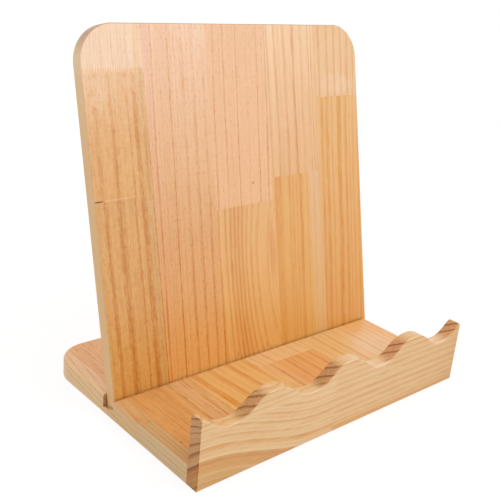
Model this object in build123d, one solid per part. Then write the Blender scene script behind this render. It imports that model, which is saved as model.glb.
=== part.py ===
from build123d import *

import os
from math import atan, ceil, cos, radians, sin, tan

# Cookbook stand: a grooved base board, a wave-cut front lip and a slot-in back panel.
# Millimetres. +X is to the reader's right, +Y to the back, +Z up.
# The origin is the middle of the base board's underside.

# Base board
base_width = 300.0
base_depth = 201.0
base_thickness = 16.5
base_corner_radius = 30.0
base_stave_widths = (12.5, 62.5, 62.0, 67.0, 59.0)
base_stave_1_joint = 60.0
base_stave_4_joint = 79.0

# Back panel
panel_width = 301.5
panel_height = 300.0
panel_corner_radius = 30.0
panel_lean = 13.0
panel_setback = 101.1
panel_side_slip = 3.3
panel_stave_widths = (54.5, 63.0, 66.0, 61.5)
panel_stave_1_bottom_length = 166.0
panel_stave_1_top_length = 35.0
panel_stave_3_top_length = 155.0
panel_stave_4_top_length = 134.5
panel_stave_5_top_length = 66.0

# Groove across the base
foot_depth = 8.1
groove_clearance = 0.3
groove_front_round = 0.5
groove_rear_round = 0.6

# Front lip, in the same planed stock as the panel
thin_stock = 11.7
dip_height = 46.0
crest_height = 61.5
wave_pitch = 81.0
wave_shift = 1.0
dip_radius = 28.0
lip_end_round = 2.0
lip_joint = 138.0

# Finger joints
finger_length = 4.5
finger_pitch = 2.2
finger_tip = 0.3

# Dowels between the base and the lip
dowel_radius = 3.0
dowel_in_lip = 8.0
dowel_in_base = 22.0
dowel_count = 4
dowel_inset = 30.0
dowel_clearance = 0.1
dowel_end_clearance = 0.5
dowel_chamfer = 0.5

# Sanded arrises, and how far cutters reach past what they cut
base_top_arris = 2.0
base_bottom_arris = 0.8
panel_front_arris = 1.2
panel_back_arris = 0.8
panel_foot_arris = 0.8
lip_arris = 0.8
lip_foot_arris = 1.2
past = 2.0

# Places worked out from the sizes
base_front = -base_depth / 2
lean = radians(panel_lean)
foot_y = base_front + panel_setback - foot_depth * sin(lean)
foot_z = base_thickness - foot_depth * cos(lean)
panel_plane = Plane(
    origin=(panel_side_slip, foot_y, foot_z),
    x_dir=(1, 0, 0),
    z_dir=(0, -cos(lean), sin(lean)),
)


# Boards


def rounded_board(width, length, thickness, corner_radius, top_arris, bottom_arris):
    """A board sawn square at its near end, with round corners at its far end.

    The arrises of its upper face are rounded over, and those of its lower face are chamfered.
    """
    outline = Rectangle(width, length, align=(Align.CENTER, Align.MIN))
    far_corners = outline.vertices().group_by(Axis.Y)[-1]
    board = extrude(fillet(far_corners, corner_radius), amount=thickness)
    top_edges = board.edges().group_by(Axis.Z)[-1].filter_by(lambda edge: edge.center().Y > past)
    board = fillet(top_edges, top_arris)
    bottom_edges = board.edges().group_by(Axis.Z)[0].filter_by(lambda edge: edge.center().Y > past)
    return chamfer(bottom_edges, bottom_arris)


def stave_edges(widths, board_width):
    """Where the staves of a board begin and end; the last stave takes what is left."""
    edges = [0.0]
    for width in widths:
        if edges[-1] + width < board_width - 2 * past:
            edges.append(edges[-1] + width)
    return edges + [board_width]


def cut_staves(board, edges, reach):
    """Cut a board along its glue lines, from the left side of the board."""
    left_side = board.bounding_box().min.X
    staves = []
    for start, end in zip(edges, edges[1:]):
        near = start - (past if start == edges[0] else 0.0)
        far = end + (past if end == edges[-1] else 0.0)
        strip = Pos(left_side + near, 0, 0) * Box(
            far - near, reach, reach, align=(Align.MIN, Align.CENTER, Align.CENTER)
        )
        staves.append(board & strip)
    return staves


# Finger joints


def finger_area(span, position):
    """The area below a row of fingers that start at position.

    X runs across the joint from 0 to span, Y along the grain.
    """
    count = max(1, round(span / finger_pitch))
    step = span / count
    tips = position + finger_length
    outline = [(-past, -past), (-past, position)]
    for finger in range(count):
        start = finger * step
        outline.append((start + finger_tip / 2, position))
        outline.append((start + (step - finger_tip) / 2, tips))
        outline.append((start + (step + finger_tip) / 2, tips))
        outline.append((start + step - finger_tip / 2, position))
    outline += [(span + past, position), (span + past, -past)]
    return make_face(Polyline(outline, close=True))


def fingers(plane, span, position, reach):
    """Everything on the near side of a finger joint, cut right through the board."""
    return extrude(plane * finger_area(span, position), amount=reach, both=True)


def split(piece, near_sides):
    """Cut a stave into its blocks, in order along the grain."""
    blocks = []
    rest = piece
    for near_side in near_sides:
        blocks.append(rest & near_side)
        rest = rest - near_side
    return blocks + [rest]


# Base board


def groove_cutter():
    """The groove's section, seen from the side, with a floor square to the panel and eased lips."""
    front_wall = foot_y - groove_clearance
    panel_back = base_front + panel_setback + thin_stock / cos(lean)
    round_centre = panel_back + (groove_clearance + groove_rear_round * (1 - sin(lean))) / cos(lean)
    rear_wall = round_centre - groove_rear_round
    front_floor = foot_z - (front_wall - foot_y) * tan(lean)
    rear_floor = foot_z - (rear_wall - foot_y) * tan(lean)
    front_lip = front_wall - groove_front_round
    rear_lip = rear_wall + groove_rear_round
    diagonal = 1 - cos(radians(45))
    over = base_thickness + past
    section = make_face(
        [
            ThreePointArc(
                (front_lip, base_thickness),
                (front_wall - groove_front_round * diagonal, base_thickness - groove_front_round * diagonal),
                (front_wall, base_thickness - groove_front_round),
            ),
            Polyline(
                (front_wall, base_thickness - groove_front_round),
                (front_wall, front_floor),
                (rear_wall, rear_floor),
                (rear_wall, base_thickness - groove_rear_round),
            ),
            ThreePointArc(
                (rear_wall, base_thickness - groove_rear_round),
                (rear_wall + groove_rear_round * diagonal, base_thickness - groove_rear_round * diagonal),
                (rear_lip, base_thickness),
            ),
            Polyline(
                (rear_lip, base_thickness),
                (rear_lip, over),
                (front_lip, over),
                (front_lip, base_thickness),
            ),
        ]
    )
    return extrude(Plane.YZ * section, amount=base_width / 2 + past, both=True)


def dowels(radius, in_lip, in_base, chamfer_size=0.0):
    """The dowels, or with larger sizes the holes for them, half way up the base's front face."""
    gap = (base_width - 2 * dowel_inset) / (dowel_count - 1)
    row = []
    for number in range(dowel_count):
        across = number * gap + dowel_inset - base_width / 2
        rod = Cylinder(radius, in_lip + in_base, align=(Align.CENTER, Align.CENTER, Align.MIN))
        if chamfer_size:
            rod = chamfer(rod.edges().filter_by(GeomType.CIRCLE), chamfer_size)
        row.append(Pos(across, base_front + in_base, base_thickness / 2) * Rot(90, 0, 0) * rod)
    return row


def dowel_holes():
    return dowels(
        dowel_radius + dowel_clearance,
        dowel_in_lip + dowel_end_clearance,
        dowel_in_base + dowel_end_clearance,
    )


def base_board():
    board = Pos(0, base_front, 0) * rounded_board(
        base_width,
        base_depth,
        base_thickness,
        base_corner_radius,
        base_top_arris,
        base_bottom_arris,
    )
    board -= groove_cutter()
    for hole in dowel_holes():
        board -= hole
    return board


def base_blocks():
    """The base's blocks by name: six staves, two of them finger-jointed."""
    edges = stave_edges(base_stave_widths, base_width)
    across = Plane(origin=(0, base_front, 0), x_dir=(0, 0, 1), z_dir=(-1, 0, 0))
    joints = {1: [base_stave_1_joint], 4: [base_stave_4_joint]}
    named = {}
    for number, stave in enumerate(cut_staves(base_board(), edges, 2 * base_depth), start=1):
        if number in joints:
            near_sides = [fingers(across, base_thickness, place, base_width) for place in joints[number]]
            front, rear = split(stave, near_sides)
            named[f"base_stave_{number}_front"] = front
            named[f"base_stave_{number}_rear"] = rear
        else:
            named[f"base_stave_{number}"] = stave
    return named


# Front lip


def wave_area():
    """The wavy board seen from the front: crests and dips are arcs that run into each other."""
    rise = crest_height - dip_height
    slope = 2 * atan(2 * rise / wave_pitch)
    crest_radius = wave_pitch / 2 / sin(slope) - dip_radius
    turn_height = dip_height + dip_radius * (1 - cos(slope))
    half_crest = crest_radius * sin(slope)
    half_dip = dip_radius * sin(slope)
    waves = ceil(base_width / wave_pitch / 2) + 1
    line = []
    for wave in range(-waves, waves + 1):
        crest = wave_shift + wave * wave_pitch
        start = (crest - half_crest, turn_height)
        middle = (crest + half_crest, turn_height)
        end = (crest + half_crest + 2 * half_dip, turn_height)
        line.append(ThreePointArc(start, (crest, crest_height), middle))
        line.append(ThreePointArc(middle, (crest + wave_pitch / 2, dip_height), end))
    left = wave_shift - waves * wave_pitch - half_crest
    right = left + (2 * waves + 1) * wave_pitch
    line.append(Polyline((right, turn_height), (right, 0), (left, 0), (left, turn_height)))
    return make_face(line)


def lip_board():
    """The lip, with its rear face against the base's front face.

    Its arrises are chamfered, but not where it is glued to the base.
    """
    blank = Box(base_width, thin_stock, 2 * crest_height, align=(Align.CENTER, Align.MAX, Align.CENTER))
    lip = extrude(Plane.XZ * wave_area(), amount=thin_stock) & blank
    across = lip.edges().filter_by(Axis.Y)
    ends = across.filter_by(lambda edge: abs(edge.center().X) > base_width / 2 - past)
    lip = fillet(ends.filter_by(lambda edge: edge.center().Z > dip_height), lip_end_round)
    corners = lip.edges().filter_by(Axis.Y).filter_by(lambda edge: edge.center().Z < past)
    lip = fillet(corners, lip_foot_arris)
    square = chamfer(lip.edges().group_by(Axis.Y)[0], lip_arris)
    rear_edges = square.edges().group_by(Axis.Y)[-1]
    eased = chamfer(rear_edges.filter_by(lambda edge: edge.center().Z > past), lip_arris)
    glued = Box(base_width, 2 * thin_stock, base_thickness, align=(Align.CENTER, Align.CENTER, Align.MIN))
    lip = Pos(0, base_front, 0) * ((eased - glued) + (square & glued))
    for hole in dowel_holes():
        lip -= hole
    return lip


def lip_blocks():
    """The lip's two blocks, with finger joints cut across its thickness."""
    near_side = fingers(
        Plane(origin=(-base_width / 2, base_front, 0), x_dir=(0, -1, 0), z_dir=(0, 0, 1)),
        thin_stock,
        lip_joint,
        2 * crest_height,
    )
    left, right = split(lip_board(), [near_side])
    return {"lip_left": left, "lip_right": right}


# Back panel


def panel_board():
    """The panel lying flat: X across, Y up from its foot, its face at Z = 0."""
    board = rounded_board(
        panel_width,
        panel_height,
        thin_stock,
        panel_corner_radius,
        panel_front_arris,
        panel_back_arris,
    )
    foot = board.edges().group_by(Axis.Y)[0]
    return Pos(0, 0, -thin_stock) * chamfer(foot, panel_foot_arris)


def panel_blocks():
    """The panel's blocks by name: five staves, four of them finger-jointed."""
    edges = stave_edges(panel_stave_widths, panel_width)
    hidden = Plane(origin=(0, 0, -thin_stock), x_dir=(0, 0, 1), z_dir=(-1, 0, 0))
    shown = Plane(origin=(-panel_width / 2, 0, 0), x_dir=(1, 0, 0), z_dir=(0, 0, 1))
    shown_joint = panel_height - panel_stave_1_top_length - finger_length / 2
    joints = {
        1: [
            fingers(hidden, thin_stock, panel_stave_1_bottom_length, panel_width),
            fingers(shown, edges[1], shown_joint, panel_height),
        ],
        3: [fingers(hidden, thin_stock, panel_height - panel_stave_3_top_length, panel_width)],
        4: [fingers(hidden, thin_stock, panel_height - panel_stave_4_top_length, panel_width)],
        5: [fingers(hidden, thin_stock, panel_height - panel_stave_5_top_length, panel_width)],
    }
    names = {1: [""], 2: ["_bottom", "_top"], 3: ["_bottom", "_middle", "_top"]}
    named = {}
    for number, stave in enumerate(cut_staves(panel_board(), edges, 3 * panel_height), start=1):
        blocks = split(stave, joints.get(number, []))
        for block, place in zip(blocks, names[len(blocks)]):
            named[f"panel_stave_{number}{place}"] = panel_plane * block
    return named


# Write every piece


def write_piece(name, shape):
    print(name, "volume", round(shape.volume, 1))
    export_step(shape, f"parts/{name}.step")


os.makedirs("parts", exist_ok=True)
pieces = {**base_blocks(), **lip_blocks(), **panel_blocks()}
pieces["lip_dowels"] = Compound(children=dowels(dowel_radius, dowel_in_lip, dowel_in_base, dowel_chamfer))
for piece_name, piece_shape in pieces.items():
    write_piece(piece_name, piece_shape)
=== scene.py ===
import math

import bpy
from mathutils import Matrix, Vector

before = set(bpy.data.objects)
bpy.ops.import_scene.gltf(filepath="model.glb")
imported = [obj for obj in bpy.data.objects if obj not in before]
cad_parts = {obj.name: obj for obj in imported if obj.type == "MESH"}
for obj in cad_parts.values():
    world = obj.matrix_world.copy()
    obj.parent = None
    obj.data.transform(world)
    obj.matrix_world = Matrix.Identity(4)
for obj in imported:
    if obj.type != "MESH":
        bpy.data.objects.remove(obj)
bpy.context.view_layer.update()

bpy.ops.object.select_all(action="DESELECT")

# Base board: eight pine blocks glued edge to edge, sanded flush and given a satin clear finish.
# The grain runs front to back. The first and the fourth of its six staves are finger jointed,
# each from a short front block and a longer rear one.

MM = 0.001
BASE_WIDTH = 300.0
BASE_DEPTH = 201.0
BASE_THICKNESS = 16.5

# A point of a board is given in mm: across its grain, along it, and through its thickness. Here
# these are counted from the base's left side, from its front edge, and up from its upper face.
BOARD_ORIGIN = (-BASE_WIDTH / 2 * MM, -BASE_DEPTH / 2 * MM, BASE_THICKNESS * MM)
BOARD_TURN = (0.0, 0.0, 0.0)
BOARD_GRAIN = (0.0, 1.0, 0.0)


def shade(red, green, blue):
    """A colour as a screen shows it, 0 to 255, as the light values of a shader."""
    parts = [value / 255 for value in (red, green, blue)]
    light = [part / 12.92 if part < 0.04045 else ((part + 0.055) / 1.055) ** 2.4 for part in parts]
    return (*light, 1.0)


def grey(level):
    """A grey of the given light value."""
    return (level, level, level, 1.0)


def between(first, second, share):
    """The colour that lies a share of the way from the first colour to the second."""
    return tuple(a + (b - a) * share for a, b in zip(first, second))


class Coat:
    """The nodes of one finish, with short ways to add them, join them and reckon with them."""

    def __init__(self, owner):
        owner.use_nodes = True
        self.tree = owner.node_tree
        self.tree.nodes.clear()

    def add(self, kind, **settings):
        made = self.tree.nodes.new(kind)
        for key, value in settings.items():
            setattr(made, key, value)
        return made

    def join(self, source, socket):
        """Links an output to a socket, or sets the socket to a plain value."""
        if hasattr(source, "node"):
            self.tree.links.new(source, socket)
        else:
            socket.default_value = source

    def calc(self, operation, *sources, clamp=False):
        made = self.add("ShaderNodeMath", operation=operation, use_clamp=clamp)
        for number, source in enumerate(sources):
            self.join(source, made.inputs[number])
        return made.outputs[0]

    def total(self, first, *others):
        for other in others:
            first = self.calc("ADD", first, other)
        return first

    def times(self, first, second):
        return self.calc("MULTIPLY", first, second)

    def vector(self, operation, first, second):
        made = self.add("ShaderNodeVectorMath", operation=operation)
        self.join(first, made.inputs[0])
        self.join(second, made.inputs[1])
        return made

    def remap(self, value, low, high, start=0.0, end=1.0, kind="LINEAR"):
        """A value that goes from low to high, turned into one that goes from start to end."""
        made = self.add("ShaderNodeMapRange", interpolation_type=kind)
        for socket, source in zip(("Value", "From Min", "From Max", "To Min", "To Max"),
                                  (value, low, high, start, end)):
            self.join(source, made.inputs[socket])
        return made.outputs["Result"]

    def mix(self, amount, first, second, blend="MIX"):
        """Two colours mixed: the node's inputs 6 and 7 and its output 2 are those for colours."""
        made = self.add("ShaderNodeMix", data_type="RGBA", blend_type=blend)
        self.join(amount, made.inputs["Factor"])
        self.join(first, made.inputs[6])
        self.join(second, made.inputs[7])
        return made.outputs[2]

    def graded(self, value, stops):
        """The colour that a value has on a band of stops, each of them a value and its colour."""
        low, high = stops[0][0], stops[-1][0]
        made = self.add("ShaderNodeValToRGB")
        self.join(self.remap(value, low, high), made.inputs[0])
        band = made.color_ramp
        band.elements[0].position = 0.0
        band.elements[0].color = stops[0][1]
        band.elements[1].position = 1.0
        band.elements[1].color = stops[-1][1]
        for at, colour in stops[1:-1]:
            band.elements.new((at - low) / (high - low)).color = colour
        return made.outputs["Color"]

    def seen_by(self, *rays):
        """1 for rays of the kinds named, 0 for all others."""
        sight = self.add("ShaderNodeLightPath")
        found = sight.outputs[rays[0]]
        for ray in rays[1:]:
            found = self.calc("MAXIMUM", found, sight.outputs[ray])
        return found


# A band holds 32 stops at most, and each growth line takes four of them.
LINES_IN_BAND = 6
BAND_MARGIN = 5.0
LEAST_STEP = 0.05


def late_wood(wood, place, lines):
    """How much late wood there is at a place: each line rises softly, may hold, and falls."""
    found = 0.0
    for first in range(0, len(lines), LINES_IN_BAND):
        band = lines[first:first + LINES_IN_BAND]
        stops = [(band[0][0] - band[0][2] - BAND_MARGIN, grey(0.0))]
        for at, strength, rise, fall, *hold in band:
            held = at + sum(hold) + LEAST_STEP
            stops.append((max(at - rise, stops[-1][0] + LEAST_STEP), grey(0.0)))
            stops.append((max(at, stops[-1][0] + LEAST_STEP), grey(strength)))
            stops.append((held, grey(strength)))
            stops.append((held + fall, grey(0.0)))
        stops.append((stops[-1][0] + BAND_MARGIN, grey(0.0)))
        found = wood.calc("MAXIMUM", wood.graded(place, stops), found)
    return found


def pine(name, origin, turn, grain, body, late, lines, crests=None, lean=0.0, middle=0.0,
         bow=0.0, fan=0.0, pivot=0.0, fall=None, tilt=0.22, wander=1.0, ragged=0.5, patchy=1.2,
         calm=None, fine=0.2, fine_scale=0.55, streak=0.14, mottle=0.06, ripple=0.03, fuzz=0.1,
         flecks=0.3, blush=None, run=(), zones=(), fade=None, marks=(), side=None,
         end_tone=(168, 118, 78), end_light=(212, 168, 122), end_dark=(130, 80, 46),
         end_rings=(0.0, 0.7), end_reach=0.8, end_away=1.0):
    """One block's pine: growth lines by place and strength, with finer grain worked out between.

    Body and late are the tones of the early and the late wood. A growth line is its place, its
    strength, its rise and fall in mm, and for how many mm it holds, if it does.
    Lean and bow: how far the lines move in 100 mm along, counted from the middle. Fan: how much
    more they bow for each mm from the pivot. Fall: where a drop of the lines starts and ends, and
    how deep it is. Tilt: how far they move for each mm of thickness, as one number, or as two
    places across and the tilt at each. Crests: a height, and the lines above it, which run level.
    Calm: two places along, and how strong all lines are at each.
    Zone: start, end and soft edge among the growth lines, amount, tone. Fade: start and end along,
    amount, tone. Mark: place across and along, half its width and its length, amount, tone.
    Run: the block's tone at places along it, partly painted light on the panel. Blush: the tone
    at the start of each year's growth, and its amount. Side: a direction, an amount, and the tones
    of the early and the late wood on the side that faces there, partly painted light.
    End tone, light and dark: the saw cut's two tones between the growth lines, and that of the
    lines. End rings: the strengths of a line at which that starts and is full. End reach: how
    squarely a face has to lie across the grain to show the cut in full. End away: the share of it
    on the faces that look along the grain's own direction; below 1 it leaves them paler, as
    painted sheen.
    """
    material = bpy.data.materials.new(name)
    wood = Coat(material)
    coordinates = wood.add("ShaderNodeTexCoord")
    board = wood.add("ShaderNodeMapping", vector_type="TEXTURE")
    board.inputs["Location"].default_value = origin
    board.inputs["Rotation"].default_value = turn
    board.inputs["Scale"].default_value = (MM, MM, MM)
    wood.join(coordinates.outputs["Object"], board.inputs["Vector"])
    split = wood.add("ShaderNodeSeparateXYZ")
    wood.join(board.outputs["Vector"], split.inputs[0])
    across, along, through = split.outputs

    def noise(cells_across, cells_along, detail=2.0):
        """Noise from -0.5 to 0.5, with this many cells in a mm across the grain and along it."""
        stretch = (cells_across, cells_along, cells_across)
        stretched = wood.vector("MULTIPLY", board.outputs["Vector"], stretch)
        made = wood.add("ShaderNodeTexNoise", noise_dimensions="3D")
        wood.join(stretched.outputs["Vector"], made.inputs["Vector"])
        made.inputs["Scale"].default_value = 1.0
        made.inputs["Detail"].default_value = detail
        return wood.calc("SUBTRACT", made.outputs["Fac"], 0.5)

    def facing(direction):
        """How squarely the surface faces a direction of the part."""
        return wood.vector("DOT_PRODUCT", coordinates.outputs["Normal"], direction).outputs["Value"]

    def tinted(amount, colour, tone):
        """Turns the block's own tone into another by a share, and keeps the grain that is on it."""
        gain = tuple(part / own for part, own in zip(tone, body))
        return wood.mix(amount, colour, gain, "MULTIPLY")

    # The place of a point among the growth lines, straightened from their lean, bow and fall, moved
    # by three sizes of wander, and shifted by their tilt through the thickness.
    reach = wood.calc("DIVIDE", wood.calc("SUBTRACT", along, middle), 100.0)
    place = wood.calc("SUBTRACT", across, wood.times(reach, lean))
    if bow or fan:
        swell = wood.total(wood.times(wood.calc("SUBTRACT", across, pivot), fan), bow)
        place = wood.calc("SUBTRACT", place, wood.times(swell, wood.times(reach, reach)))
    if fall:
        near, far, drop = fall
        place = wood.total(place, wood.remap(along, near, far, 0.0, drop, kind="SMOOTHSTEP"))
    slow_wander = wood.times(noise(0.035, 0.008, 1.0), 3.2 * wander)
    quick_wander = wood.times(noise(0.18, 0.022), 1.1 * wander)
    torn_edges = wood.times(noise(0.9, 0.09), 3.0 * ragged)
    wobble = wood.total(slow_wander, quick_wander, torn_edges)
    if isinstance(tilt, tuple):
        tilt = wood.remap(across, *tilt)
    dip = wood.times(through, tilt)
    place = wood.total(place, wobble, dip)

    lines = sorted(lines)
    ring = late_wood(wood, place, lines)
    if crests:
        crest, crest_lines = crests
        crest_blend = 2.0
        level = wood.total(across, wobble, dip)
        above = wood.remap(level, crest - crest_blend, crest + crest_blend)
        ring = wood.total(wood.times(ring, wood.calc("SUBTRACT", 1.0, above)),
                          wood.times(late_wood(wood, level, crest_lines), above))
    if calm:
        ring = wood.times(ring, wood.remap(along, *calm))

    # Hairlines run between the growth lines. Threads and patches break the lines up.
    hair = wood.add("ShaderNodeTexNoise", noise_dimensions="1D")
    wood.join(wood.times(place, fine_scale), hair.inputs["W"])
    hair.inputs["Scale"].default_value = 1.0
    hair.inputs["Detail"].default_value = 3.0
    hair.inputs["Roughness"].default_value = 0.62
    hairs = wood.calc("SUBTRACT", hair.outputs["Fac"], 0.5)
    threads = noise(1.5, 0.1)
    patches = noise(0.16, 0.03)
    vigour = wood.total(wood.times(threads, 1.5), wood.times(patches, 2.0 * patchy), 1.0)

    # How deep the wood's tone is, from 0 for the palest early wood to 1 for full late wood.
    early_depth = 0.3
    cloud = 0.08
    depth = wood.total(wood.times(ring, wood.calc("MAXIMUM", vigour, 0.0)), early_depth)
    for layer, amount in ((hairs, fine), (noise(0.4, 0.03), streak), (noise(0.22, 0.14), mottle),
                          (noise(0.12, 0.5), ripple), (threads, fuzz), (noise(0.06, 0.02), cloud)):
        depth = wood.total(depth, wood.times(layer, 2.0 * amount))
    depth = wood.calc("ADD", depth, 0.0, clamp=True)
    palest_gain = (1.08, 1.16, 1.26, 1.0)
    palest = tuple(part * gain for part, gain in zip(body, palest_gain))
    colour = wood.graded(depth, [(0.0, palest), (early_depth, body),
                                 (0.65, between(body, late, 0.6)), (1.0, late)])

    # Each year's growth starts pinker and turns yellower towards its dark late wood.
    if blush:
        blush_tone, blush_amount = blush
        line_edge = 0.2
        years = []
        for line, next_line in zip(lines, lines[1:]):
            years.append((line[0] + line_edge, grey(blush_amount)))
            years.append((next_line[0] - line_edge, grey(0.0)))
        colour = wood.mix(wood.graded(place, years), colour, blush_tone)

    # The block's tone changes from place to place along the grain. On the panel, where it grows
    # paler towards the top, it is partly painted light: the brighter light and reflection on the
    # upper panel.
    if run:
        tones = wood.graded(along, [(at, shade(*tone)) for at, tone in run])
        toned = wood.vector("MULTIPLY", colour, tones).outputs["Vector"]
        colour = wood.vector("DIVIDE", toned, body[:3]).outputs["Vector"]

    # The saw cut across the grain is darker and browner than the faces, and its lines are too.
    saw_marks = wood.remap(noise(1.2, 0.3, 3.0), -0.2, 0.2)
    end_colour = wood.mix(saw_marks, shade(*end_tone), shade(*end_light))
    end_colour = wood.mix(wood.remap(ring, *end_rings), end_colour, shade(*end_dark))

    # Zones of another tone lie between growth lines. They run through to the saw cut.
    for start, end, soft, amount, tone in zones:
        zone = wood.graded(place, [(start - soft, grey(0.0)), (start + soft, grey(amount)),
                                   (end - soft, grey(amount)), (end + soft, grey(0.0))])
        colour = tinted(zone, colour, tone)
        end_colour = tinted(zone, end_colour, tone)
    if fade:
        near, far, amount, tone = fade
        faded = wood.remap(along, near, far, 0.0, amount, kind="SMOOTHSTEP")
        colour = tinted(faded, colour, tone)

    # Pin knots, pale patches, painted reflections, the painted shadow at the panel's foot and other
    # marks are ellipses with a soft edge.
    for mark_across, mark_along, half_width, half_length, amount, tone in marks:
        aside = wood.calc("DIVIDE", wood.calc("SUBTRACT", across, mark_across), half_width)
        ahead = wood.calc("DIVIDE", wood.calc("SUBTRACT", along, mark_along), half_length)
        away = wood.total(wood.times(aside, aside), wood.times(ahead, ahead))
        colour = tinted(wood.remap(away, 0.3, 1.3, amount, 0.0), colour, tone)

    # Resin canals are short dark dashes, most of them in the late wood.
    resin_tone = shade(164, 92, 32)
    dash = wood.remap(noise(1.9, 0.22, 1.0), 0.12, 0.24)
    dash = wood.calc("MULTIPLY", dash, wood.total(wood.times(ring, 1.5), 0.4), clamp=True)
    colour = wood.mix(wood.times(dash, flecks), colour, resin_tone)

    # The long sides show the growth lines flat, in another tone than the faces do. The tone given
    # to the left sides is partly painted light, the cooler, paler light that falls on them.
    if side:
        side_direction, side_amount, side_tone, side_late = side
        shown = wood.remap(facing(side_direction), 0.45, 0.95, 0.0, side_amount, kind="SMOOTHSTEP")
        colour = wood.mix(shown, colour, side_tone)
        colour = wood.mix(wood.times(shown, ring), colour, side_late)

    # End grain drinks in the finish, so it is darker and duller where it faces along the grain.
    # Faces that look along the grain's own direction get only the end-away share of it; on the lip
    # this leaves the right-facing flanks paler, as painted sheen.
    towards = facing(grain)
    cut = wood.calc("MAXIMUM", wood.times(towards, end_away), wood.times(towards, -1.0))
    cut_share = wood.remap(cut, 0.1, end_reach, 0.0, 0.95, kind="SMOOTHSTEP")
    colour = wood.mix(cut_share, colour, end_colour)

    surface = wood.add("ShaderNodeBsdfPrincipled")
    wood.join(colour, surface.inputs["Base Color"])
    wood.join(wood.remap(depth, 0.1, 0.9, 0.36, 0.3), surface.inputs["Roughness"])
    wood.join(wood.remap(cut, 0.1, end_reach, 0.5, 0.2), surface.inputs["Specular IOR Level"])
    surface.inputs["IOR"].default_value = 1.5
    relief = wood.add("ShaderNodeBump")
    relief.inputs["Strength"].default_value = 0.25
    relief.inputs["Distance"].default_value = 0.06 * MM
    wood.join(wood.total(depth, threads), relief.inputs["Height"])
    wood.join(relief.outputs["Normal"], surface.inputs["Normal"])
    output = wood.add("ShaderNodeOutputMaterial")
    wood.join(surface.outputs["BSDF"], output.inputs["Surface"])
    return material


def dress(block_name, material):
    """Gives a block its own pine."""
    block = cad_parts[block_name]
    block.data.materials.clear()
    block.data.materials.append(material)


def board_pine(name, body, late, lines, **grain):
    dress(name, pine(name, BOARD_ORIGIN, BOARD_TURN, BOARD_GRAIN, shade(*body), shade(*late),
                     lines, **grain))


LEFT = (-1.0, 0.0, 0.0)
knot = shade(150, 84, 40)
# The tones of the boards' left sides are partly painted light, the cooler light that falls on them.
front_side = (LEFT, 0.5, shade(210, 182, 132), shade(150, 104, 62))
rear_side = (LEFT, 0.55, shade(212, 174, 116), shade(150, 104, 62))

board_pine("base_stave_1_front", (206, 162, 109), (176, 120, 70),
           tilt=1.1, flecks=0.2, ragged=0.2, wander=0.4, side=front_side,
           lines=[(-13.0, 0.3, 1.5, 0.5), (-8.0, 0.35, 2.0, 0.5), (-3.5, 0.3, 1.5, 0.5),
                  (1.5, 0.35, 1.2, 0.4), (5.4, 0.35, 1.6, 0.4), (8.6, 0.25, 1.5, 0.4)],
           marks=[(12.5, 40.0, 0.7, 60.0, 0.4, shade(160, 100, 56))])
board_pine("base_stave_1_rear", (236, 192, 142), (190, 122, 58),
           lean=16.0, middle=98.0, tilt=1.1, ragged=0.2, wander=0.4, side=rear_side,
           run=[(62, (212, 162, 103)), (95, (218, 167, 109)), (125, (238, 195, 146))],
           lines=[(-18.0, 0.3, 1.5, 0.6), (-12.2, 0.34, 1.5, 0.6), (-6.0, 0.25, 1.5, 0.6),
                  (0.5, 0.2, 1.5, 0.6), (6.5, 0.3, 1.5, 0.6), (15.0, 0.2, 1.5, 0.6),
                  (24.0, 0.2, 1.5, 0.6)],
           marks=[(3.5, 67.0, 3.0, 5.0, 0.35, shade(224, 152, 90)),
                  (6.0, 61.0, 7.0, 0.8, 0.2, shade(160, 100, 56))])
board_pine("base_stave_2", (221, 158, 90), (186, 106, 38),
           fine=0.36, streak=0.34, flecks=0.6, ragged=0.8, mottle=0.12,
           fade=(95, 125, 0.75, shade(242, 184, 127)),
           lines=[(19.0, 0.1, 4.0, 1.0), (31.0, 0.1, 4.0, 1.0), (42.0, 0.12, 4.0, 1.0),
                  (52.0, 0.4, 1.8, 0.8), (57.0, 0.2, 1.5, 0.6), (61.5, 0.2, 1.5, 0.6),
                  (66.5, 0.4, 1.5, 0.8), (73.5, 0.2, 1.5, 0.6)],
           zones=[(47.0, 80.0, 3.0, 0.5, shade(225, 179, 117)),
                  (54.0, 65.0, 1.5, 0.22, shade(234, 180, 132)),
                  (69.0, 72.5, 1.0, 0.2, shade(238, 188, 132))],
           marks=[(13.2, 25.3, 0.9, 1.6, 0.6, knot), (17.0, 144.0, 0.9, 1.4, 0.5, knot),
                  (19.0, 190.0, 0.9, 1.4, 0.5, knot)])
board_pine("base_stave_3", (233, 182, 110), (214, 134, 46),
           lean=-6.0, middle=100.0, flecks=0.15,
           lines=[(77.0, 0.4, 2.4, 2.6, 4.0), (89.0, 0.1, 3.0, 1.5), (95.0, 0.36, 2.6, 2.4, 3.4),
                  (106.0, 0.1, 3.0, 1.5), (114.5, 0.36, 2.8, 2.2, 3.0), (125.0, 0.1, 3.0, 1.5),
                  (133.0, 0.36, 2.4, 2.0, 2.0)])
board_pine("base_stave_4_front", (232, 170, 102), (200, 114, 46),
           streak=0.2,
           lines=[(143.0, 0.14, 2.5, 1.0), (151.6, 0.3, 3.0, 1.0, 0.6), (160.0, 0.14, 2.5, 1.0),
                  (168.5, 0.3, 3.0, 1.0, 0.6), (175.0, 0.16, 2.5, 1.0),
                  (182.3, 0.3, 3.0, 1.0, 0.6), (190.0, 0.14, 2.5, 1.0),
                  (198.2, 0.3, 3.0, 1.0, 0.6)],
           zones=[(110.0, 156.0, 7.0, 0.8, shade(235, 188, 127))])
board_pine("base_stave_4_rear", (237, 191, 130), (210, 142, 78),
           lean=-14.0, middle=98.0,
           lines=[(136.0, 0.25, 2.5, 0.8), (142.5, 0.34, 2.5, 0.8), (149.5, 0.22, 2.5, 0.8),
                  (156.0, 0.34, 2.5, 0.8), (166.0, 0.25, 2.5, 0.8), (177.0, 0.25, 2.5, 0.8),
                  (188.0, 0.25, 2.5, 0.8), (199.0, 0.25, 2.5, 0.8)])
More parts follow.
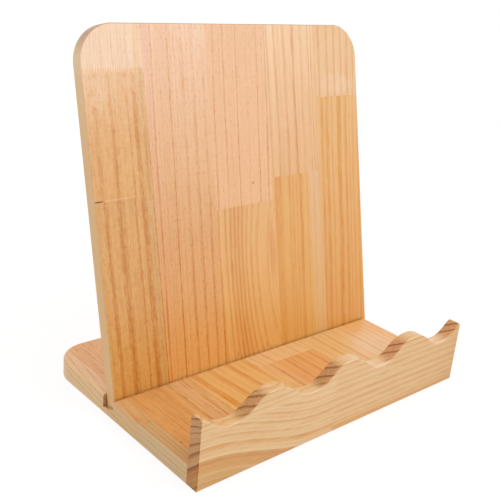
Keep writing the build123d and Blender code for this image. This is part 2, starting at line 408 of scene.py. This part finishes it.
board_pine("base_stave_5", (234, 188, 123), (204, 136, 68),
           lines=[(205.0, 0.3, 2.4, 0.8), (213.0, 0.14, 3.0, 1.0), (222.5, 0.32, 3.4, 0.9),
                  (230.0, 0.14, 3.0, 1.0), (237.2, 0.32, 3.4, 0.9), (248.0, 0.16, 3.0, 1.0),
                  (259.5, 0.34, 3.0, 0.9)],
           # A pale ellipse at the front right, shared with stave 6: painted reflection, the
           # finish's sheen.
           marks=[(262.0, 58.0, 26.0, 24.0, 0.3, shade(236, 208, 182))])
board_pine("base_stave_6", (236, 182, 117), (215, 138, 56),
           lines=[(268.0, 0.28, 2.4, 0.8), (275.0, 0.18, 2.4, 0.8), (282.0, 0.24, 2.4, 0.8),
                  (289.0, 0.2, 2.4, 0.8), (295.0, 0.24, 2.4, 0.8)],
           # The same pale ellipse as on stave 5: painted reflection, the finish's sheen.
           marks=[(262.0, 58.0, 26.0, 24.0, 0.3, shade(236, 208, 182))])

# Front lip: two pine blocks finger jointed end to end, glued and dowelled to the base board's
# front edge. Their tops are cut to a wave that the open pages rest against. The grain runs left
# to right, so the dips cut through it and show brown end grain on their flanks.

LIP_THICKNESS = 11.7

# Here across is up from the underside, along is from the left end, and through is back from the
# lip's face.
LIP_ORIGIN = (-BASE_WIDTH / 2 * MM, -(BASE_DEPTH / 2 + LIP_THICKNESS) * MM, 0.0)
LIP_TURN = (-math.pi / 2, -math.pi / 2, 0.0)
LIP_GRAIN = (1.0, 0.0, 0.0)


# The lip's end away of 0.35 keeps the right-facing flanks of its dips and its right end paler than
# the left-facing ones: painted sheen.
def lip_pine(name, body, lines, **grain):
    late = shade(206, 140, 58)
    dress(name, pine(name, LIP_ORIGIN, LIP_TURN, LIP_GRAIN, shade(*body), late, lines, ragged=0.2,
                     flecks=0.2, end_rings=(0.04, 0.32), end_reach=0.46, end_away=0.35, **grain))


lip_pine("lip_left", (226, 187, 136),
         tilt=(22.0, 52.0, 0.95, 0.4), wander=0.35, fall=(0, 125, 26), end_tone=(173, 120, 72),
         end_light=(211, 160, 107), end_dark=(142, 85, 40),
         lines=[(5.0, 0.28, 2.2, 1.0), (11.0, 0.1, 2.6, 1.0), (17.5, 0.12, 3.0, 1.0),
                (24.2, 0.36, 6.0, 0.8), (29.0, 0.08, 2.0, 0.8), (34.6, 0.34, 5.0, 0.8),
                (38.0, 0.1, 2.0, 0.8), (41.8, 0.34, 3.4, 0.8), (45.6, 0.12, 2.4, 0.8),
                (49.5, 0.32, 3.0, 0.8), (53.4, 0.14, 2.0, 0.7), (57.2, 0.3, 2.8, 0.7),
                (60.6, 0.14, 2.4, 0.7), (64.0, 0.26, 2.4, 0.7), (69.5, 0.2, 2.4, 0.7)],
         crests=(46.5, [(50.0, 0.24, 1.6, 0.6), (54.6, 0.34, 1.8, 0.5), (57.4, 0.08, 1.4, 0.5),
                        (60.3, 0.34, 1.8, 0.5), (63.2, 0.3, 1.2, 0.5)]),
         zones=[(-12.0, 12.0, 1.5, 0.7, shade(203, 149, 76)),
                (13.0, 23.6, 1.2, 0.78, shade(206, 147, 76)),
                (29.5, 35.0, 1.5, 0.3, shade(222, 164, 98))])
lip_pine("lip_right", (224, 183, 130),
         tilt=0.5, wander=0.35, lean=-1.0, middle=225.0, end_tone=(184, 129, 83),
         end_light=(222, 168, 118), end_dark=(155, 92, 48),
         run=[(138, (225, 184, 132)), (240, (221, 180, 126)), (272, (219, 177, 121)),
              (298, (212, 167, 108))],
         lines=[(2.5, 0.2, 2.4, 0.6, 1.5), (8.0, 0.24, 2.4, 0.6), (11.7, 0.28, 2.6, 0.6),
                (17.7, 0.28, 3.0, 0.6), (23.5, 0.34, 3.0, 0.6), (30.4, 0.38, 3.0, 0.6),
                (37.7, 0.26, 2.8, 0.6), (43.4, 0.26, 3.0, 0.6), (48.4, 0.32, 1.8, 0.5),
                (54.0, 0.36, 1.6, 0.5), (59.4, 0.38, 1.8, 0.6)],
         zones=[(-4.0, 6.0, 1.5, 0.5, shade(217, 157, 80))],
         # The pale marks on the floors of the third and fourth dips are painted reflection, sheen
         # on the finish.
         marks=[(47.0, 191.5, 3.0, 14.0, 0.4, shade(240, 204, 174)),
                (47.0, 272.5, 3.0, 14.0, 0.6, shade(240, 206, 178))])

# Lip dowels: four plain beech pins with chamfered ends, glued into the lip and the front edge of
# the base board, out of sight once the stand is put together.

dress("lip_dowels", pine("lip_dowels", BOARD_ORIGIN, BOARD_TURN, BOARD_GRAIN,
                         shade(216, 172, 128), shade(160, 108, 70), lines=[], fine=0.1))

# Back panel: ten pine blocks glued into one board that stands loose in the base's groove and
# leans back. Five staves run up it, four of them finger jointed from shorter blocks, and all of
# it has the base board's satin clear finish.

PANEL_LEAN = 13
PANEL_FOOT = 0.6

# Here across is from the base's left side, along is up the panel's face from the level of the
# base's upper face, where it is PANEL_FOOT behind the base's middle, and through is out from it.
PANEL_ORIGIN = (-BASE_WIDTH / 2 * MM, PANEL_FOOT * MM, BASE_THICKNESS * MM)
PANEL_TURN = (math.radians(90 - PANEL_LEAN), 0.0, 0.0)
PANEL_GRAIN = (0.0, math.cos(PANEL_TURN[0]), math.sin(PANEL_TURN[0]))

# A thin dark line where the panel's face rests against the edge of the groove: partly dirt, and
# partly painted shade, the contact shadow in the seam.
foot_shadow_and_dirt = (150.0, 0.0, 400.0, 0.6, 0.3, shade(176, 90, 34))
# The panel's left edge tone is partly painted light, the paler light that falls on that edge.
panel_side = (LEFT, 0.6, shade(218, 182, 130), shade(170, 118, 66))


def panel_pine(name, body, late, lines, marks=(), **grain):
    dress(name, pine(name, PANEL_ORIGIN, PANEL_TURN, PANEL_GRAIN, shade(*body), shade(*late),
                     lines, marks=[*marks, foot_shadow_and_dirt], **grain))


# The paler upper blocks, and the tones that grow paler up each stave, are partly the wood's own and
# partly painted light: the brighter light and reflection on the upper panel.
panel_pine("panel_stave_1_bottom", (217, 157, 86), (196, 120, 46),
           middle=80.0, streak=0.2, mottle=0.18, fine=0.36, ripple=0.14, flecks=1.2, fuzz=0.34,
           wander=0.7, ragged=0.7, patchy=1.1, side=panel_side, calm=(0, 150, 1.0, 0.75),
           run=[(0, (218, 157, 78)), (20, (219, 159, 85)), (150, (220, 168, 107))],
           lines=[(5.0, 0.18, 1.5, 1.5, 1.0), (11.0, 0.46, 1.8, 1.8, 1.6), (18.5, 0.12, 1.0, 0.8),
                  (22.6, 0.46, 1.2, 2.4, 3.4), (33.0, 0.12, 1.0, 0.8), (38.5, 0.4, 1.4, 1.2, 0.8),
                  (45.5, 0.6, 1.4, 1.8, 2.6), (53.0, 0.1, 1.5, 1.0), (56.5, 0.6, 0.8, 1.0, 0.6)],
           zones=[(50.0, 55.5, 0.8, 0.45, shade(206, 160, 102))])
panel_pine("panel_stave_1_middle", (225, 171, 112), (204, 134, 66),
           middle=200.0, streak=0.15, mottle=0.16, fine=0.26, ripple=0.1, flecks=1.1, fuzz=0.34,
           wander=0.7, ragged=0.7, patchy=1.1, side=panel_side, calm=(205, 250, 0.95, 0.35),
           run=[(165, (224, 170, 111)), (205, (226, 174, 118)), (238, (231, 184, 136)),
                (258, (233, 189, 144))],
           lines=[(5.0, 0.12, 1.5, 1.5, 1.0), (9.5, 0.32, 1.8, 1.8, 1.6), (18.5, 0.1, 1.0, 0.8),
                  (23.5, 0.32, 1.6, 2.0, 2.0), (33.0, 0.12, 1.0, 0.8), (39.5, 0.34, 1.2, 0.9, 0.6),
                  (45.5, 0.46, 1.6, 1.8, 2.2), (53.0, 0.2, 1.5, 1.5, 1.5), (57.0, 0.4, 1.0, 1.0)],
           zones=[(50.0, 55.5, 0.8, 0.35, shade(208, 168, 112))],
           marks=[(6.4, 158.6, 4.6, 0.7, 0.9, shade(112, 62, 32)),
                  (24.0, 158.6, 18.0, 0.9, 0.5, shade(240, 182, 138)),
                  (10.0, 244.0, 18.0, 22.0, 0.4, shade(233, 183, 134))])
panel_pine("panel_stave_1_top", (241, 206, 174), (212, 156, 116),
           lean=3.0, middle=275.0, fine=0.22, fine_scale=0.9, flecks=0.7, side=panel_side,
           end_tone=(176, 130, 100), end_light=(204, 158, 126), end_dark=(150, 102, 72),
           lines=[(12.0, 0.08, 3.0, 0.6), (21.0, 0.1, 3.0, 0.6), (31.0, 0.12, 2.0, 0.6),
                  (37.0, 0.14, 2.0, 0.6), (39.5, 0.1, 1.4, 0.5), (43.5, 0.14, 2.0, 0.6),
                  (51.0, 0.16, 2.0, 0.6), (53.5, 0.1, 1.2, 0.5)],
           zones=[(50.0, 56.0, 1.5, 0.4, shade(236, 188, 138))])
panel_pine("panel_stave_2", (227, 163, 88), (202, 116, 26),
           lean=2.4, fine=0.26, flecks=1.2, wander=0.8, patchy=1.4, calm=(60, 260, 1.2, 0.5),
           fuzz=0.2, blush=(shade(228, 160, 94), 0.3), ragged=0.4,
           run=[(0, (232, 171, 90)), (45, (228, 168, 98)), (120, (224, 170, 115)),
                (190, (231, 183, 136)), (290, (239, 199, 166))],
           lines=[(51.0, 0.3, 1.6, 0.6), (59.0, 0.5, 1.4, 0.7), (66.0, 0.1, 1.6, 0.6),
                  (75.0, 0.6, 1.6, 0.7), (82.0, 0.12, 2.0, 0.6), (88.5, 0.34, 2.2, 0.9, 0.6),
                  (99.5, 0.34, 2.4, 0.9, 0.6), (110.0, 0.32, 2.4, 0.8, 0.4),
                  (118.5, 0.4, 1.8, 0.8)],
           zones=[(62.0, 77.0, 3.0, 0.36, shade(223, 154, 80)),
                  (95.0, 111.0, 3.0, 0.06, shade(229, 172, 96))],
           marks=[(61.5, 130.0, 3.4, 400.0, 0.4, shade(226, 152, 88))])
panel_pine("panel_stave_3_bottom", (230, 173, 100), (207, 124, 32),
           middle=75.0, bow=4.4, fan=0.32, pivot=131.0, flecks=0.15, wander=0.5, ragged=0.25,
           run=[(15, (230, 173, 96)), (60, (231, 178, 108)), (130, (228, 177, 119))],
           lines=[(120.6, 0.3, 1.8, 0.8), (127.5, 0.3, 2.6, 0.9), (133.0, 0.36, 2.6, 0.9),
                  (137.0, 0.36, 2.6, 0.9), (141.0, 0.34, 2.4, 0.9), (145.0, 0.3, 2.4, 0.9),
                  (150.0, 0.28, 2.4, 0.9), (155.5, 0.26, 2.6, 0.9), (162.0, 0.22, 2.6, 0.9),
                  (175.0, 0.2, 2.6, 0.9)],
           zones=[(129.0, 147.0, 4.0, 0.3, shade(218, 154, 80))],
           marks=[(132.5, 4.0, 0.9, 3.0, 0.5, shade(196, 100, 40)),
                  (168.0, 5.0, 0.9, 3.0, 0.5, shade(196, 100, 40)),
                  (181.0, 92.0, 4.0, 30.0, 0.45, shade(214, 136, 64))])
panel_pine("panel_stave_3_top", (234, 182, 134), (205, 129, 72),
           lean=3.4, middle=215.0, flecks=1.1, calm=(150, 290, 1.1, 0.65), fuzz=0.14,
           blush=(shade(236, 176, 138), 0.4), ragged=0.3,
           run=[(140, (234, 184, 135)), (215, (234, 186, 141)), (290, (233, 188, 145))],
           lines=[(117.0, 0.3, 2.0, 0.5), (125.0, 0.4, 1.4, 0.5), (130.5, 0.12, 1.6, 0.5),
                  (136.2, 0.44, 1.4, 0.5), (143.0, 0.1, 1.6, 0.5), (150.5, 0.44, 1.4, 0.5),
                  (162.0, 0.1, 1.6, 0.5), (173.8, 0.44, 1.4, 0.5), (184.0, 0.38, 1.6, 0.6)],
           marks=[(162.5, 155.5, 0.9, 1.3, 0.7, knot)])
panel_pine("panel_stave_4_bottom", (229, 171, 92), (212, 134, 50),
           lean=2.0, middle=75.0, flecks=0.12, calm=(10, 130, 0.7, 1.05),
           run=[(15, (226, 168, 84)), (60, (227, 171, 94)), (155, (227, 174, 108))],
           lines=[(187.0, 0.22, 1.0, 2.5, 8.0), (204.0, 0.2, 1.5, 1.5, 2.0),
                  (209.0, 0.32, 1.4, 1.0, 0.4), (213.0, 0.2, 1.5, 1.0, 1.5),
                  (217.5, 0.34, 1.4, 2.0, 2.5), (228.5, 0.26, 1.6, 0.8), (237.0, 0.12, 2.0, 1.0),
                  (245.5, 0.14, 2.0, 0.8)],
           marks=[(240.0, 60.0, 9.5, 300.0, 0.7, shade(227, 181, 124))])
panel_pine("panel_stave_4_top", (230, 181, 131), (208, 140, 84),
           lean=0.8, middle=215.0, flecks=0.2,
           run=[(160, (227, 178, 126)), (215, (231, 184, 138)), (290, (237, 197, 156))],
           lines=[(188.0, 0.22, 1.8, 0.9), (196.5, 0.25, 1.5, 1.4, 0.6), (202.0, 0.1, 3.0, 1.0),
                  (208.0, 0.26, 2.2, 1.2, 0.8), (218.3, 0.38, 2.4, 1.4, 1.2),
                  (229.5, 0.24, 2.4, 1.2), (239.0, 0.24, 1.4, 0.6), (242.5, 0.24, 1.4, 0.6),
                  (246.5, 0.28, 1.4, 0.6)],
           zones=[(191.0, 195.0, 1.4, 0.25, shade(244, 208, 160))])
panel_pine("panel_stave_5_bottom", (223, 163, 88), (209, 132, 36),
           lean=3.0, middle=75.0, flecks=0.12,
           run=[(15, (224, 162, 79)), (90, (224, 167, 99)), (160, (226, 174, 112)),
                (225, (227, 178, 122))],
           lines=[(249.5, 0.34, 1.5, 1.4, 1.5), (256.0, 0.36, 2.2, 1.4, 2.0),
                  (264.0, 0.26, 2.0, 1.2), (271.0, 0.42, 1.0, 3.0, 3.5),
                  (281.5, 0.32, 2.0, 1.6, 2.0), (288.0, 0.26, 2.0, 1.2), (293.5, 0.28, 2.6, 1.6),
                  (300.0, 0.4, 2.2, 1.4)])
panel_pine("panel_stave_5_top", (229, 186, 140), (210, 146, 88),
           lean=1.5, middle=260.0, flecks=0.15,
           lines=[(252.5, 0.32, 2.2, 1.4), (263.7, 0.32, 2.4, 1.4), (273.5, 0.32, 2.4, 1.4),
                  (282.5, 0.3, 2.4, 1.4), (291.0, 0.3, 2.4, 1.4), (299.4, 0.36, 2.0, 1.0)],
           # The pale mark near the top is painted reflection, sheen on the finish.
           marks=[(274.0, 238.0, 24.0, 10.0, 0.3, shade(240, 206, 176))])

# Floor: a plain sheet of white paper that the stand rests on. Where it is looked at directly or
# in a reflection most of it glows, so that it shows white, with only a faint shadow on it.

FLOOR_WIDTH = 30.0
PAPER_TONE = 0.8
PAPER_GLOW = 1.08
GLOWING_SHARE = 0.8

bpy.ops.mesh.primitive_plane_add(size=FLOOR_WIDTH, location=(0, 0, 0))
floor = bpy.context.object
floor.name = "floor"
white_paper = bpy.data.materials.new("white_paper")
paper = Coat(white_paper)
matt = paper.add("ShaderNodeBsdfDiffuse")
matt.inputs["Color"].default_value = grey(PAPER_TONE)
glow = paper.add("ShaderNodeEmission")
glow.inputs["Color"].default_value = grey(1.0)
glow.inputs["Strength"].default_value = PAPER_GLOW
shown = paper.seen_by("Is Camera Ray", "Is Glossy Ray")
sheet = paper.add("ShaderNodeMixShader")
paper.join(paper.times(shown, GLOWING_SHARE), sheet.inputs[0])
paper.join(matt.outputs[0], sheet.inputs[1])
paper.join(glow.outputs[0], sheet.inputs[2])
paper_out = paper.add("ShaderNodeOutputMaterial")
paper.join(sheet.outputs[0], paper_out.inputs["Surface"])
floor.data.materials.append(white_paper)

# Surround: a white room all round, which gives a little less light than it shows, so that the
# wood keeps its own colour, and one broad soft lamp to the right of the front.

ROOM_FILL = 0.94
ROOM_WHITE = 1.0

white_room = bpy.data.worlds.new("white_room")
bpy.context.scene.world = white_room
room = Coat(white_room)
shown = room.seen_by("Is Camera Ray", "Is Glossy Ray", "Is Transmission Ray")
wall = room.add("ShaderNodeBackground")
wall.inputs["Color"].default_value = grey(1.0)
room.join(room.remap(shown, 0.0, 1.0, ROOM_FILL, ROOM_WHITE), wall.inputs["Strength"])
room_out = room.add("ShaderNodeOutputWorld")
room.join(wall.outputs[0], room_out.inputs["Surface"])

LAMP_AT = Vector((0.85, -1.05, 1.2))
LAMP_TARGET = Vector((0, 0, 0.12))
LAMP_WIDTH = 0.9
LAMP_POWER = 6.5

lamp_data = bpy.data.lights.new("soft_lamp", "AREA")
lamp_data.shape = "SQUARE"
lamp_data.size = LAMP_WIDTH
lamp_data.energy = LAMP_POWER
lamp = bpy.data.objects.new("soft_lamp", lamp_data)
bpy.context.scene.collection.objects.link(lamp)
lamp.location = LAMP_AT
lamp.rotation_euler = (LAMP_TARGET - LAMP_AT).to_track_quat("-Z", "Y").to_euler()

# Camera: where the photograph was taken from, to the left of the front of the stand and above it.
# Its turns are in radians, and it is rolled a little to one side, as the photograph is.

CAMERA_AT = Vector((-0.45132, -0.47318, 0.36202))
CAMERA_YAW = 0.74331328
CAMERA_DIP = 0.35822902
CAMERA_ROLL = -0.09080506
CAMERA_LENS = 57.871
CAMERA_SENSOR = 36.0

camera_data = bpy.data.cameras.new("camera")
camera_data.lens = CAMERA_LENS
camera_data.sensor_width = CAMERA_SENSOR
camera = bpy.data.objects.new("camera", camera_data)
bpy.context.scene.collection.objects.link(camera)
ahead = Vector((math.sin(CAMERA_YAW) * math.cos(CAMERA_DIP),
                math.cos(CAMERA_YAW) * math.cos(CAMERA_DIP), -math.sin(CAMERA_DIP)))
level = Vector((math.cos(CAMERA_YAW), -math.sin(CAMERA_YAW), 0.0))
upright = level.cross(ahead)
right = math.cos(CAMERA_ROLL) * level - math.sin(CAMERA_ROLL) * upright
up = right.cross(ahead)
camera.matrix_world = Matrix.LocRotScale(CAMERA_AT, Matrix((right, up, -ahead)).transposed(), None)
bpy.context.scene.camera = camera
bpy.context.scene.view_settings.view_transform = "Standard"
